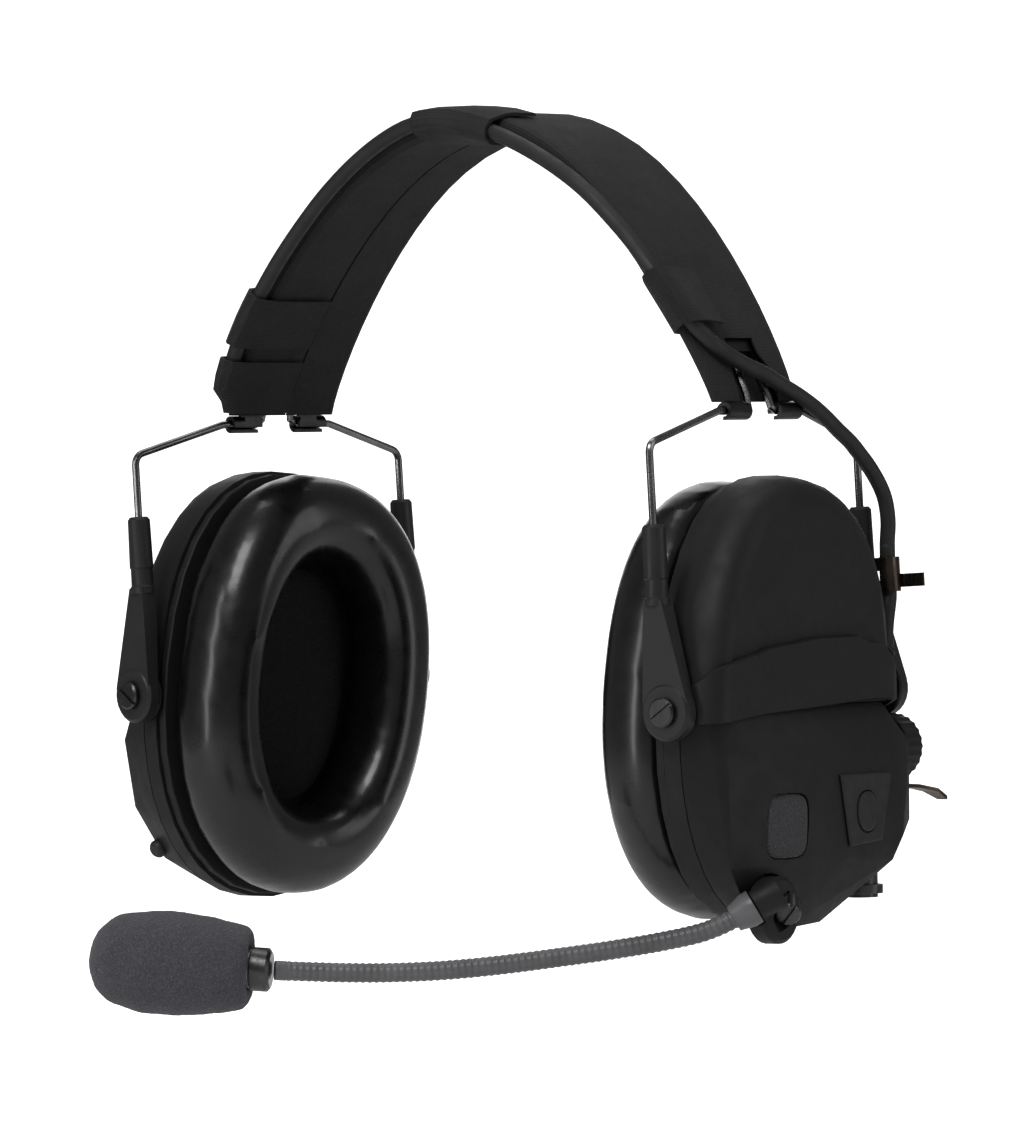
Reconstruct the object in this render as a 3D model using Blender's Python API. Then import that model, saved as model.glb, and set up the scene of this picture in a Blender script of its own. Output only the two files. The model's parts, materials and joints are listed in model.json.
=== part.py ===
"""Two-cup communications headset with a boom microphone.

Sizes are in millimetres and become metres through MM. +Z is up, the wearer faces -Y, and the
wearer's left ear, with the microphone, is at +X. The origin is the middle of the headband's
underside, where it rests on the head.
Each side has its own frames, in which x points outboard, y to the rear and z up.
"""

import math

import bmesh
import bpy
from mathutils import Vector

MM = 0.001
LEFT = 1
RIGHT = -1
SIDE_NAME = {LEFT: "left", RIGHT: "right"}
GAP = 0.3

# Headband
BAND_HEIGHT = 74.5
BAND_INNER_HALF = 83.6
BAND_SIDE_THICK = 4.0
BAND_TOP_THICK = 6.0
BAND_LEAN = 1.5
BAND_FULLNESS = 0.73
BAND_END_HALF_WIDTH = 17.0
BAND_FRONT_REACH = 21.5
BAND_REAR_REACH = 17.3
BAND_END = 5.3
BAND_STATIONS = 32
NOTCH_HALF_WIDTH = 8.5

# Wire yokes
HOOK_HALF = 87.2
TOE_IN = 6.0
YOKE_SWING = {LEFT: 2.4, RIGHT: -3.5}
WIRE_RADIUS = 1.05
HOOK_END = 17.0
HOOK_START = 6.5
LOOP_HEIGHT = 13.0
BEND_DROP = 8.0
LEG_HALF = 46.0
LEG_FORWARD = -3.3
LEG_LENGTH = 38.0

# Fork arms
ARM_LENGTH = 47.4
ARM_DROP = {LEFT: 20.5, RIGHT: 16.4}
ARM_BORE_DEPTH = 38.0
SOCKET_RADIUS = 3.1
EYE_RADIUS = 7.4
EYE_INNER = 45.6
EYE_THICK = 4.0
PIVOT_OUTBOARD = 2.9
PIVOT_RISE = 1.6
SCREW_RADIUS = 1.5

# Cups
CUP_HALF_WIDTH = 40.1
CUP_HALF_HEIGHT = 57.5
CUP_LEAN = 9.0
CUP_FORWARD = -3.8
TOP_POWER = 2.35
LOW_POWER = 2.15
CUSHION_FACE = -28.5
CUSHION_BACK = -7.3
RING_FACE = -7.0
RING_BACK = -4.3
SHELL_RIM = -4.0
DOME_FACE = 12.0
MODULE_SEAM = 1.0
MODULE_TOP = -1.2
MODULE_FACE = 17.0
WALL = 2.0
OPENING = (19.5, 33.5)
BOSS_START = {-1: 44.8, 1: 38.0}
BOSS_RADIUS = {-1: 6.9, 1: 5.9}

# Battery
CELL_RADIUS = 7.25
CELL_LENGTH = 49.5
CELL_X = 5.0
CELL_Z = -13.5
CELL_REAR = 35.8
CAP_RADIUS = 8.7

# Power button
BUTTON_CENTRE = (13.6, -29.0)
BUTTON_HALF = (4.4, 5.2)

# Boom microphone
SWIVEL = (10.7, -22.5, -52.5)
CLAMP_RADIUS = 8.6
SCREW_FACE = (17.5, -22.1, -53.9)
SCREW_AXIS = (0.45, -0.70, -0.55)
BOOM_EXIT = (13.9, -31.3, -51.1)
BOOM_AXIS = (-0.69, -0.53, -0.49)
BOOM_RADIUS = 2.55
NECK_RADIUS = 5.6
WINDSCREEN_START = (-87.9, -108.0, -64.3)
WINDSCREEN_AXIS = (-0.87, -0.49, 0.08)

# Crossover cable
CABLE_RADIUS = 2.05


class Frame:
    """A placed set of axes: side mirrors x, and about is the parent's point at its origin."""

    def __init__(self, name, side, location, rotation=(0, 0, 0), parent=None, about=(0, 0, 0)):
        self.side = side
        self.about = Vector(about)
        self.empty = bpy.data.objects.new(name, None)
        self.empty.empty_display_size = 0.01
        bpy.context.collection.objects.link(self.empty)
        x, y, z = location
        self.empty.location = Vector((x * side if parent else x, y, z)) * MM
        self.empty.rotation_euler = [math.radians(a) for a in rotation]
        if parent:
            self.empty.parent = parent.empty

    def local(self, point):
        x, y, z = Vector(point) - self.about
        return Vector((x * self.side, y, z)) * MM


def clear_scene():
    for obj in list(bpy.data.objects):
        bpy.data.objects.remove(obj, do_unlink=True)


def material(name, color, roughness, metallic=0.0):
    made = bpy.data.materials.new(name)
    made.use_nodes = True
    shader = made.node_tree.nodes["Principled BSDF"]
    shader.inputs["Base Color"].default_value = (*color, 1.0)
    shader.inputs["Roughness"].default_value = roughness
    shader.inputs["Metallic"].default_value = metallic
    return made


def finish_mesh(name, bm, frame, mat, smooth_angle):
    bmesh.ops.recalc_face_normals(bm, faces=bm.faces)
    mesh = bpy.data.meshes.new(name)
    bm.to_mesh(mesh)
    bm.free()
    obj = bpy.data.objects.new(name, mesh)
    bpy.context.collection.objects.link(obj)
    obj.parent = frame.empty
    mesh.materials.append(mat)
    mesh.shade_smooth()
    mesh.set_sharp_from_angle(angle=math.radians(smooth_angle))
    return obj


def loft(name, rings, frame, mat, closed=False, smooth_angle=35):
    """Skins equal rings of points. Closed joins the last ring to the first, else both ends are capped."""
    bm = bmesh.new()
    rows = [[bm.verts.new(frame.local(p)) for p in ring] for ring in rings]
    count = len(rows[0])
    spans = len(rows) if closed else len(rows) - 1
    for i in range(spans):
        here = rows[i]
        there = rows[(i + 1) % len(rows)]
        for j in range(count):
            k = (j + 1) % count
            bm.faces.new((here[j], here[k], there[k], there[j]))
    if not closed:
        bm.faces.new(rows[0])
        bm.faces.new(rows[-1])
    return finish_mesh(name, bm, frame, mat, smooth_angle)


def hull(name, points, frame, mat, smooth_angle=25):
    bm = bmesh.new()
    for point in points:
        bm.verts.new(frame.local(point))
    made = bmesh.ops.convex_hull(bm, input=bm.verts)
    spare = set(made["geom_interior"]) | set(made["geom_unused"])
    bmesh.ops.delete(bm, geom=[v for v in spare if isinstance(v, bmesh.types.BMVert)])
    bmesh.ops.dissolve_limit(bm, angle_limit=math.radians(1), verts=bm.verts, edges=bm.edges)
    return finish_mesh(name, bm, frame, mat, smooth_angle)


def turned(name, start, axis, profile, frame, mat, sides=20, closed=False, flutes=0.0):
    """Revolves a profile of (distance along the axis, radius) about the axis through start."""
    along = Vector(axis).normalized()
    across = along.orthogonal().normalized()
    up = along.cross(across)
    rings = []
    for distance, radius in profile:
        centre = Vector(start) + along * distance
        ring = []
        for i in range(sides):
            angle = math.tau * i / sides
            reach = radius - flutes * (i % 2)
            ring.append(centre + (across * math.cos(angle) + up * math.sin(angle)) * reach)
        rings.append(ring)
    return loft(name, rings, frame, mat, closed)


def box(name, low, high, frame, mat):
    corners = [
        (x, y, z) for x in (low[0], high[0]) for y in (low[1], high[1]) for z in (low[2], high[2])
    ]
    return hull(name, corners, frame, mat)


def signed_power(value, power):
    return math.copysign(abs(value) ** power, value)


def pad_shape(name, centre, across, up, half, power, depths, frame, mat, count=20):
    """A rounded block: its outline lies in the across and up directions, its depth along their cross."""
    across = Vector(across).normalized()
    up = Vector(up).normalized()
    out = across.cross(up)
    rings = []
    for depth, scale in depths:
        ring = []
        for i in range(count):
            angle = math.tau * i / count
            a = half[0] * scale * signed_power(math.cos(angle), 2 / power)
            b = half[1] * scale * signed_power(math.sin(angle), 2 / power)
            ring.append(Vector(centre) + across * a + up * b + out * depth)
        rings.append(ring)
    return loft(name, rings, frame, mat)


def boolean(obj, other, operation):
    modifier = obj.modifiers.new(other.name, "BOOLEAN")
    modifier.operation = operation
    modifier.solver = "EXACT"
    modifier.object = other
    other.hide_render = True
    other.display_type = "WIRE"


def cut(obj, other):
    boolean(obj, other, "DIFFERENCE")


def join(obj, other):
    boolean(obj, other, "UNION")


def smooth_path(points, spacing):
    """Points along a Catmull-Rom curve through the given ones, about one spacing apart."""
    points = [Vector(p) for p in points]
    padded = [2 * points[0] - points[1], *points, 2 * points[-1] - points[-2]]
    path = []
    for i in range(1, len(padded) - 2):
        before, a, b, after = padded[i - 1 : i + 3]
        steps = max(1, round((b - a).length / spacing))
        for step in range(steps):
            t = step / steps
            bend = 2 * before - 5 * a + 4 * b - after
            twist = 3 * a - before - 3 * b + after
            path.append(0.5 * (2 * a + (b - before) * t + bend * t * t + twist * t ** 3))
    path.append(points[-1])
    return path


def rounded_corners(points, radius, steps):
    """Replaces each inner corner of a polyline with an arc."""
    points = [Vector(p) for p in points]
    path = [points[0]]
    for before, corner, after in zip(points, points[1:], points[2:]):
        into = (corner - before).normalized()
        out = (after - corner).normalized()
        turn = into.angle(out)
        reach = radius * math.tan(turn / 2)
        middle = (out - into).normalized()
        centre = corner + middle * (radius / math.cos(turn / 2))
        first = corner - into * reach - centre
        last = corner + out * reach - centre
        for step in range(steps + 1):
            share = step / steps
            from_first = math.sin((1 - share) * turn) / math.sin(turn)
            from_last = math.sin(share * turn) / math.sin(turn)
            path.append(centre + first * from_first + last * from_last)
    path.append(points[-1])
    return path


def swept(name, points, radius, frame, mat):
    """A round tube along the points, as a bevelled curve with filled caps."""
    curve = bpy.data.curves.new(name, "CURVE")
    curve.dimensions = "3D"
    curve.bevel_depth = radius * MM
    curve.bevel_resolution = 2
    curve.use_fill_caps = True
    spline = curve.splines.new("POLY")
    spline.points.add(len(points) - 1)
    for target, point in zip(spline.points, points):
        target.co = (*frame.local(point), 1.0)
    obj = bpy.data.objects.new(name, curve)
    bpy.context.collection.objects.link(obj)
    obj.parent = frame.empty
    curve.materials.append(mat)
    return obj


def paint():
    return {
        "fabric": material("cover_fabric", (0.022, 0.022, 0.024), 0.75),
        "foam": material("black_foam", (0.012, 0.012, 0.013), 0.9),
        "shell": material("shell_plastic", (0.028, 0.028, 0.030), 0.55),
        "arm": material("arm_plastic", (0.024, 0.024, 0.026), 0.5),
        "vinyl": material("cushion_vinyl", (0.008, 0.008, 0.009), 0.25),
        "wire": material("dark_wire", (0.10, 0.095, 0.09), 0.25, 1.0),
        "metal": material("dark_metal", (0.12, 0.11, 0.10), 0.3, 1.0),
        "board": material("circuit_board", (0.01, 0.08, 0.03), 0.4),
        "boom": material("boom_sheath", (0.075, 0.078, 0.09), 0.45),
        "window": material("port_foam", (0.085, 0.085, 0.10), 0.95),
        "windscreen": material("windscreen_foam", (0.085, 0.085, 0.10), 0.95),
        "rubber": material("cable_rubber", (0.020, 0.020, 0.021), 0.6),
        "button": material("button_rubber", (0.030, 0.030, 0.032), 0.6),
        "cell": material("cell_wrap", (0.25, 0.25, 0.26), 0.35, 0.6),
    }


# ---------------------------------------------------------------- headband


def band_front(angle):
    """How far the band reaches to the front: it widens above its ends to make room for the cable."""
    rise = min(1.0, math.sin(math.radians(angle)) / 0.6)
    return BAND_END_HALF_WIDTH + (BAND_FRONT_REACH - BAND_END_HALF_WIDTH) * rise


def band_point(angle, height, y):
    """A point on the band: angle in degrees from the left end, height in mm from its outer face.

    Below the outer face the band's two curves are blended, and past the underside or the outer
    face the nearer curve is moved out.
    """
    a = math.radians(angle)
    rise = math.sin(a) * (BAND_FULLNESS * math.sin(a) + 1 - BAND_FULLNESS)
    thick = band_thickness(angle)
    depth = min(max(1 + height / thick, 0.0), 1.0)
    past = max(height, 0.0) + min(height + thick, 0.0)
    half = BAND_INNER_HALF + BAND_SIDE_THICK * depth + past
    tall = BAND_HEIGHT + BAND_TOP_THICK * depth + past
    twist = y * math.tan(math.radians(TOE_IN)) * math.cos(a) ** 2 * math.copysign(1, math.cos(a))
    return (half * math.cos(a) + BAND_LEAN * rise - twist, y, tall * rise - BAND_HEIGHT)


def band_thickness(angle):
    a = math.radians(angle)
    rise = math.sin(a) * (BAND_FULLNESS * math.sin(a) + 1 - BAND_FULLNESS)
    return math.hypot(BAND_SIDE_THICK * math.cos(a), BAND_TOP_THICK * rise)


def band_loft(name, section_at, angles, stations, frame, mat, smooth_angle=50):
    rings = []
    for i in range(stations + 1):
        angle = angles[0] + (angles[1] - angles[0]) * i / stations
        rings.append([band_point(angle, height, y) for height, y in section_at(angle)])
    return loft(name, rings, frame, mat, smooth_angle=smooth_angle)


def cover_section(angle):
    """Fabric wrapped right round the core, with a seam along the middle of the underside."""
    thick = band_thickness(angle)
    wall = 0.16
    outside = [(1.0, 2.2), (0.80, 0.5), (0.55, 0.0), (0.30, 0.2), (0.10, 1.0), (0.0, 2.8)]
    inside = [(wall, 3.2), (0.5, 1.2), (1 - wall, 2.6)]
    rear = [(-thick, 0.35)] + [(-thick * depth, BAND_REAR_REACH - inset) for depth, inset in outside]
    front = [(-thick, -0.35)] + [(-thick * depth, inset - band_front(angle)) for depth, inset in outside]
    rear_inner = [(-thick * depth, BAND_REAR_REACH - inset) for depth, inset in inside]
    front_inner = [(-thick * depth, inset - band_front(angle)) for depth, inset in inside]
    seam = -thick * (1 - wall)
    return rear + front[::-1] + [(seam, -0.35)] + front_inner[::-1] + rear_inner + [(seam, 0.35)]


def core_section(low, high, inset):
    def section_at(angle):
        thick = band_thickness(angle)
        rear = BAND_REAR_REACH - inset
        front = inset - band_front(angle)
        return [(-thick * high, rear), (-thick * high, front), (-thick * low, front), (-thick * low, rear)]
    return section_at


def make_headband(frame, mats):
    span = (BAND_END, 180 - BAND_END)
    cover = band_loft("band_cover", cover_section, span, BAND_STATIONS, frame, mats["fabric"])
    band_loft("band_pad", core_section(0.48, 0.78, 2.8), (28, 152), 24, frame, mats["foam"])
    band_loft("band_spring", core_section(0.30, 0.40, 7.0), (29, 151), 24, frame, mats["metal"])
    for side in (LEFT, RIGHT):
        def notch_section(angle):
            thick = band_thickness(angle)
            half = NOTCH_HALF_WIDTH * (1.0 if angle_from_end(angle) < 19 else 0.7)
            return [(4.0, half), (-thick * 0.5, half), (-thick * 0.5, -half), (4.0, -half)]
        span = (2.0, 24.5) if side == LEFT else (178.0, 155.5)
        notch = band_loft(f"{SIDE_NAME[side]}_end_notch", notch_section, span, 6, frame, mats["fabric"])
        cut(cover, notch)


def angle_from_end(angle):
    return min(angle, 180 - angle)


CABLE_ON_BAND = [
    # angle along the band, height over its outer face, distance to the rear
    (8.4, 2.45, 13.0), (11.6, 2.45, 7.2), (14.6, 2.45, 2.0), (17.1, 2.45, -4.7), (19.9, 2.45, -11.0),
    (22.9, 2.4, -15.8), (26.8, 2.1, -19.3), (33.0, 1.5, -21.9), (40.7, 0.8, -23.2), (46.1, 0.2, -23.7),
    (52.7, -0.7, -24.0), (59.4, -1.8, -24.0), (66.4, -3.1, -24.0), (74.2, -3.9, -24.0), (82.1, -3.6, -24.0),
    (90.0, -2.6, -24.0), (99.5, -1.7, -24.0), (110.3, -2.0, -24.0), (121.0, -2.1, -24.0), (130.0, -2.0, -24.0),
    (138.2, -1.8, -24.0), (145.0, -1.6, -23.8), (152.0, -1.5, -23.1), (158.0, -1.5, -22.3), (163.0, -1.6, -21.6),
    (170.0, -2.0, -15.0), (180.0, -2.2, -12.0),
]
CABLE_FAR_END = 163.0


def cable_at(angle):
    for (a, low_height, low_y), (b, high_height, high_y) in zip(CABLE_ON_BAND, CABLE_ON_BAND[1:]):
        if a <= angle <= b:
            t = (angle - a) / (b - a)
            return (low_height + (high_height - low_height) * t, low_y + (high_y - low_y) * t)
    return CABLE_ON_BAND[0][1:]


def outline_round(points):
    """The convex outline of 2-D points, in order."""
    ordered = sorted(set(points))
    halves = []
    for run in (ordered, ordered[::-1]):
        chain = []
        for p in run:
            while len(chain) > 1 and turn_of(chain[-2], chain[-1], p) <= 0:
                chain.pop()
            chain.append(p)
        halves.append(chain[:-1])
    return halves[0] + halves[1]


def turn_of(a, b, c):
    return (b[0] - a[0]) * (c[1] - a[1]) - (b[1] - a[1]) * (c[0] - a[0])


def wrap_line(angle, clearance, start_share, count=18):
    """Points round the band's front edge and the cable, this far off them, from the outer face to the seam."""
    thick = band_thickness(angle)
    points = []
    for depth, inset in ((0.0, 2.8), (0.1, 1.0), (0.3, 0.2), (0.55, 0.0), (0.8, 0.5), (1.0, 2.2)):
        for i in range(12):
            a = math.tau * i / 12
            edge = inset - band_front(angle)
            points.append((-thick * depth + clearance * math.cos(a), edge + clearance * math.sin(a)))
    for shift in (-1.6, 0.0, 1.6):
        height, y = cable_at(angle + shift)
        for i in range(16):
            a = math.tau * i / 16
            reach = CABLE_RADIUS + clearance
            points.append((height + reach * math.cos(a), y + reach * math.sin(a)))
    points += [(clearance, 0.0), (-thick - clearance, 0.0)]
    ring = outline_round(points)
    start = ring.index((clearance, 0.0)) if (clearance, 0.0) in ring else 0
    ring = ring[start:] + ring[:start]
    if ring[1][1] > ring[-1][1] or ring[1] == (-thick - clearance, 0.0):
        ring = [ring[0]] + ring[:0:-1]
    return even_points(ring, start_share, count)


def even_points(line, start_share, count):
    lengths = [math.dist(a, b) for a, b in zip(line, line[1:])]
    total = sum(lengths)
    points = []
    for i in range(count):
        want = total * (start_share + (0.98 - start_share) * i / (count - 1))
        for (a, b), length in zip(zip(line, line[1:]), lengths):
            if want <= length:
                break
            want -= length
        t = min(want / length, 1.0)
        points.append((a[0] + (b[0] - a[0]) * t, a[1] + (b[1] - a[1]) * t))
    return points


def wrap_section(angle):
    """A flap over the outer face, round the cable and along the underside, 0.9 mm thick."""
    start_share = 0.14 if angle < 155 else 0.26
    return wrap_line(angle, 1.45, start_share) + wrap_line(angle, 0.55, start_share)[::-1]


def make_sleeves(frame, mats):
    spans = {
        "left_sleeve": (27.0, 38.0), "top_sleeve": (79.0, 97.0),
        "right_sleeve": (142.0, 153.0), "right_tab": (156.5, 173.5),
    }
    for name, span in spans.items():
        band_loft(name, wrap_section, span, 4, frame, mats["fabric"], 35)


def make_bracket(side, band, frame, mats):
    """A sheet-metal plate in the band's end, whose two lower tabs are rolled round the wire."""
    name = f"{SIDE_NAME[side]}_bracket"
    inner = WIRE_RADIUS + GAP
    outer = inner + 1.0
    ends = (4.5, 25.5) if side == LEFT else (175.5, 154.5)
    plate = band_loft(name, core_section(0.34, 0.58, 3.5), ends, 6, band, mats["metal"])
    for front in (-1, 1):
        tag = "rear" if front > 0 else "front"
        arc = [math.radians(a) for a in range(-20, 281, 25)]
        profile = [(-inner * math.cos(a), inner * math.sin(a)) for a in arc]
        profile += [(-outer * math.cos(a), outer * math.sin(a)) for a in reversed(arc)]
        rings = [[(x, y, z) for x, z in profile] for y in (HOOK_START * front, (HOOK_END - 1) * front)]
        join(plate, loft(f"{name}_roll_{tag}", rings, frame, mats["metal"]))
        low = (HOOK_START + 0.4) * front
        high = (HOOK_END - 4.5) * front
        tongue = box(
            f"{name}_tongue_{tag}", (0.15 - outer, min(low, high), 0.2), (-inner - 0.15, max(low, high), 4.5),
            frame, mats["metal"],
        )
        join(plate, tongue)
    slot = box(f"{name}_slot", (-14, 0.3 - HOOK_START, -4), (3, HOOK_START - 0.3, 15.5), frame, mats["metal"])
    cut(plate, slot)


# ---------------------------------------------------------------- wire yokes


def make_wire(side, frame, mats):
    """One spring wire: leg, slanting shoulder, hook run and a hairpin loop between the hooks."""
    half = [
        (0, HOOK_START + 0.5, 0),
        (0, HOOK_END + 1.5, 0),
        (0, LEG_HALF, -BEND_DROP),
        (0, LEG_HALF, -BEND_DROP - LEG_LENGTH),
    ]
    rise = LOOP_HEIGHT
    loop = [
        (-0.1, 5.0, 1.2), (-1.0, 4.6, 4.6), (-2.6, 4.4, 8.4), (-4.0, 3.8, rise - 1.8), (-4.9, 2.2, rise - 0.4),
    ]
    legs = {}
    for direction in (-1, 1):
        points = []
        for x, y, z in half:
            forward = LEG_FORWARD if y == LEG_HALF else 0.0
            points.append((x, direction * y + forward, z))
        legs[direction] = rounded_corners(points, 3.2, 4)
    arch = [Vector((x, -y, z)) for x, y, z in loop]
    arch.append(Vector((-5.2, 0, rise)))
    arch += [Vector(p) for p in reversed(loop)]
    points = list(reversed(legs[-1])) + arch + legs[1]
    swept(f"{SIDE_NAME[side]}_wire", points, WIRE_RADIUS, frame, mats["wire"])


# ---------------------------------------------------------------- fork arms


def make_arm(side, end, frame, mats):
    """A moulded lever: a socket for the wire leg above, a collar, and the pivot eye below."""
    front = -1 if end == "front" else 1
    name = f"{SIDE_NAME[side]}_{end}_arm"
    rise = PIVOT_RISE * front
    top = ARM_LENGTH + rise
    leg = (-PIVOT_OUTBOARD, LEG_HALF * front)
    wide = SOCKET_RADIUS
    socket_profile = [
        (0, wide - 0.7), (0.8, wide - 0.1), (13.6, wide + 0.1), (13.9, wide - 0.15),
        (18.4, wide - 0.1), (18.7, wide + 0.2), (20.5, wide + 0.2),
    ]
    arm = turned(name, (leg[0], leg[1], top), (0, 0, -1), socket_profile, frame, mats["arm"], 18)
    eye_start = EYE_INNER * front
    eye_profile = [
        (0, EYE_RADIUS - 0.5), (0.5, EYE_RADIUS), (EYE_THICK - 0.8, EYE_RADIUS), (EYE_THICK, EYE_RADIUS - 0.8),
    ]
    eye = turned(f"{name}_eye", (0, eye_start, rise), (0, front, 0), eye_profile, frame, mats["arm"], 26)
    neck_top = top - 18.9
    lever_points = []
    for x in (leg[0] - wide + 0.4, leg[0] + wide - 0.4):
        for y in (leg[1] - wide * 0.8, leg[1] + wide * 0.8):
            lever_points.append((x, y, neck_top))
    for x in (-EYE_RADIUS + 0.5, EYE_RADIUS - 0.5):
        for y in (eye_start + 0.35 * front, eye_start + (EYE_THICK - 0.35) * front):
            lever_points.append((x, y, rise + 2.0))
    join(arm, eye)
    join(arm, hull(f"{name}_lever", lever_points, frame, mats["arm"]))
    bore = turned(
        f"{name}_bore", (leg[0], leg[1], top + 1), (0, 0, -1),
        [(0, WIRE_RADIUS + GAP), (ARM_BORE_DEPTH + 1, WIRE_RADIUS + GAP)], frame, mats["arm"], 12,
    )
    cut(arm, bore)
    hole = turned(
        f"{name}_hole", (0, eye_start - front, rise), (0, front, 0),
        [(0, SCREW_RADIUS + GAP), (EYE_THICK + 2, SCREW_RADIUS + GAP)], frame, mats["arm"], 12,
    )
    cut(arm, hole)


def screw_hole(name, side, front, frame, mats):
    return turned(
        name, (0, (BOSS_START[front] - 5) * front, PIVOT_RISE * front), (0, front, 0),
        [(0, SCREW_RADIUS + GAP), (14, SCREW_RADIUS + GAP)], frame, mats["shell"], 12,
    )


def make_screw(side, end, frame, mats):
    """A slotted pivot screw, tight in the strap's boss and free in the arm's eye."""
    front = -1 if end == "front" else 1
    name = f"{SIDE_NAME[side]}_{end}_screw"
    foot = BOSS_START[front] - 3.5
    face = EYE_INNER + EYE_THICK + GAP - foot
    profile = [
        (0, SCREW_RADIUS), (face, SCREW_RADIUS), (face + 0.1, 3.8), (face + 1.0, 3.8), (face + 1.5, 3.3),
    ]
    start = (0, foot * front, PIVOT_RISE * front)
    screw = turned(name, start, (0, front, 0), profile, frame, mats["metal"], 20)
    head = (EYE_INNER + EYE_THICK + GAP + 0.9) * front
    turn = 0.6
    points = []
    for x in (-5, 5):
        for z in (-0.45, 0.45):
            for y in (head, head + 2 * front):
                across = x * math.cos(turn) - z * math.sin(turn)
                points.append((across, y, x * math.sin(turn) + z * math.cos(turn) + PIVOT_RISE * front))
    cut(screw, hull(f"{name}_slot", points, frame, mats["metal"]))


# ---------------------------------------------------------------- cups


def oval(scale, count, x, half=(CUP_HALF_WIDTH, CUP_HALF_HEIGHT), power=None):
    """Points of the cup's leaning outline at one depth."""
    lean = math.radians(CUP_LEAN)
    points = []
    for i in range(count):
        a = math.tau * i / count
        n = power or (TOP_POWER if math.sin(a) >= 0 else LOW_POWER)
        y = half[0] * scale * signed_power(math.cos(a), 2 / n)
        z = half[1] * scale * signed_power(math.sin(a), 2 / n)
        points.append(
            (x, y * math.cos(lean) + z * math.sin(lean) + CUP_FORWARD, z * math.cos(lean) - y * math.sin(lean))
        )
    return points


def make_cushion(side, frame, mats):
    """A plump oval ring, fattest in the middle of its depth."""
    outside = [
        (CUSHION_BACK, 0.965), (-10.5, 1.0), (-15.5, 1.01), (-20.5, 0.99),
        (-24.5, 0.93), (-27.2, 0.84), (CUSHION_FACE, 0.73),
    ]
    inside = [(-27.6, 1.20), (-24.5, 1.05), (-17.0, 0.98), (CUSHION_BACK, 0.98)]
    count = 36
    rings = [oval(scale, count, x) for x, scale in outside]
    rings += [oval(scale, count, x, OPENING, 2.2) for x, scale in inside]
    loft(f"{SIDE_NAME[side]}_cushion", rings, frame, mats["vinyl"], closed=True, smooth_angle=60)


def make_cup_inside(side, frame, mats):
    name = SIDE_NAME[side]
    count = 32
    rings = [
        oval(0.985, count, RING_FACE), oval(0.985, count, RING_BACK),
        oval(0.80, count, RING_BACK, OPENING, 2.2), oval(0.80, count, RING_FACE, OPENING, 2.2),
    ]
    loft(f"{name}_cushion_ring", rings, frame, mats["shell"], closed=True)
    rings = [oval(0.94, count, x, OPENING, 2.2) for x in (RING_FACE - 0.3, RING_FACE - 3.8)]
    rings.append(oval(0.84, count, RING_FACE - 4.6, OPENING, 2.2))
    loft(f"{name}_foam_liner", rings, frame, mats["foam"])
    turned(
        f"{name}_speaker", (RING_BACK + 0.4, -3.5, 16), (1, 0, 0),
        [(0, 17), (2.5, 17), (3.0, 12), (6.5, 11)], frame, mats["metal"], 24,
    )
    box(f"{name}_circuit_board", (6.4, -24, 6), (8.0, 20, 38), frame, mats["board"])


def make_shell(side, frame, mats):
    """The cup's domed shell; its lower outer part is cut away for the electronics module."""
    name = f"{SIDE_NAME[side]}_shell"
    count = 40
    levels = [(SHELL_RIM, 1.0), (3.5, 1.0), (7.0, 0.985), (9.4, 0.955), (11.1, 0.915), (DOME_FACE, 0.86)]
    shell = loft(name, [oval(s, count, x) for x, s in levels], frame, mats["shell"])
    hollow_levels = [(SHELL_RIM - 1, 0.95), (3.5, 0.95), (7.0, 0.93), (DOME_FACE - WALL, 0.86)]
    hollow = [oval(s, count, x) for x, s in hollow_levels]
    cut(shell, loft(f"{name}_hollow", hollow, frame, mats["shell"]))
    cut(shell, box(f"{name}_seat", (MODULE_SEAM, -60, -70), (30, 60, MODULE_TOP), frame, mats["shell"]))
    for front in (-1, 1):
        tag = "rear" if front > 0 else "front"
        cut(shell, screw_hole(f"{name}_hole_{tag}", side, front, frame, mats))
    return shell


def module_points(side):
    """Corners of the electronics module."""
    points = [p for p in oval(1.0, 40, MODULE_SEAM + GAP) if p[2] < MODULE_TOP - GAP]
    top = MODULE_TOP - GAP
    points += [(1.3, -43.9, top), (1.3, 36.6, top), (7.0, -42.2, top), (7.0, 36.4, top), (10.8, -37, top), (10.8, 31, top)]
    if side == LEFT:
        points += [
            (9.5, -38.0, -14), (10.0, -36.5, -20), (10.0, -36.0, -42), (8.5, -27, -53),
            (MODULE_FACE, -14.6, -16.4), (MODULE_FACE, -6.6, -28), (MODULE_FACE, -2.5, -40),
            (MODULE_FACE, 29, -12), (MODULE_FACE, 31, -36), (MODULE_FACE, 26, -42),
            (14.6, 38.0, -12), (14.6, 37.5, -32), (11.0, 29, -45), (9, -12, -58.0), (9, 4, -57.0),
        ]
    else:
        points += [
            (MODULE_FACE - 1.5, -40, -14), (MODULE_FACE, -36, -14), (MODULE_FACE, -34, -34),
            (MODULE_FACE - 3, -38, -32), (MODULE_FACE, -20, -44), (MODULE_FACE, 18, -42),
            (MODULE_FACE, 31, -24), (MODULE_FACE, 30, -12), (12.5, 36.5, -12), (12.0, 33, -30),
            (10.5, -31, -46), (10, -12, -55), (10, 10, -53),
        ]
    return points


def hollow_points(side):
    """The module's corners drawn in towards its middle, and carried out through its open back."""
    middle = Vector((4.0, -1.0, -26.0))
    shrink = Vector((0.86, 0.94, 0.92))
    moved = []
    for point in module_points(side):
        away = Vector(point) - middle
        moved.append(middle + Vector((away.x * shrink.x, away.y * shrink.y, away.z * shrink.z)))
    return moved + [Vector((-3, p.y, p.z)) for p in moved if p.x < 3]


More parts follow.
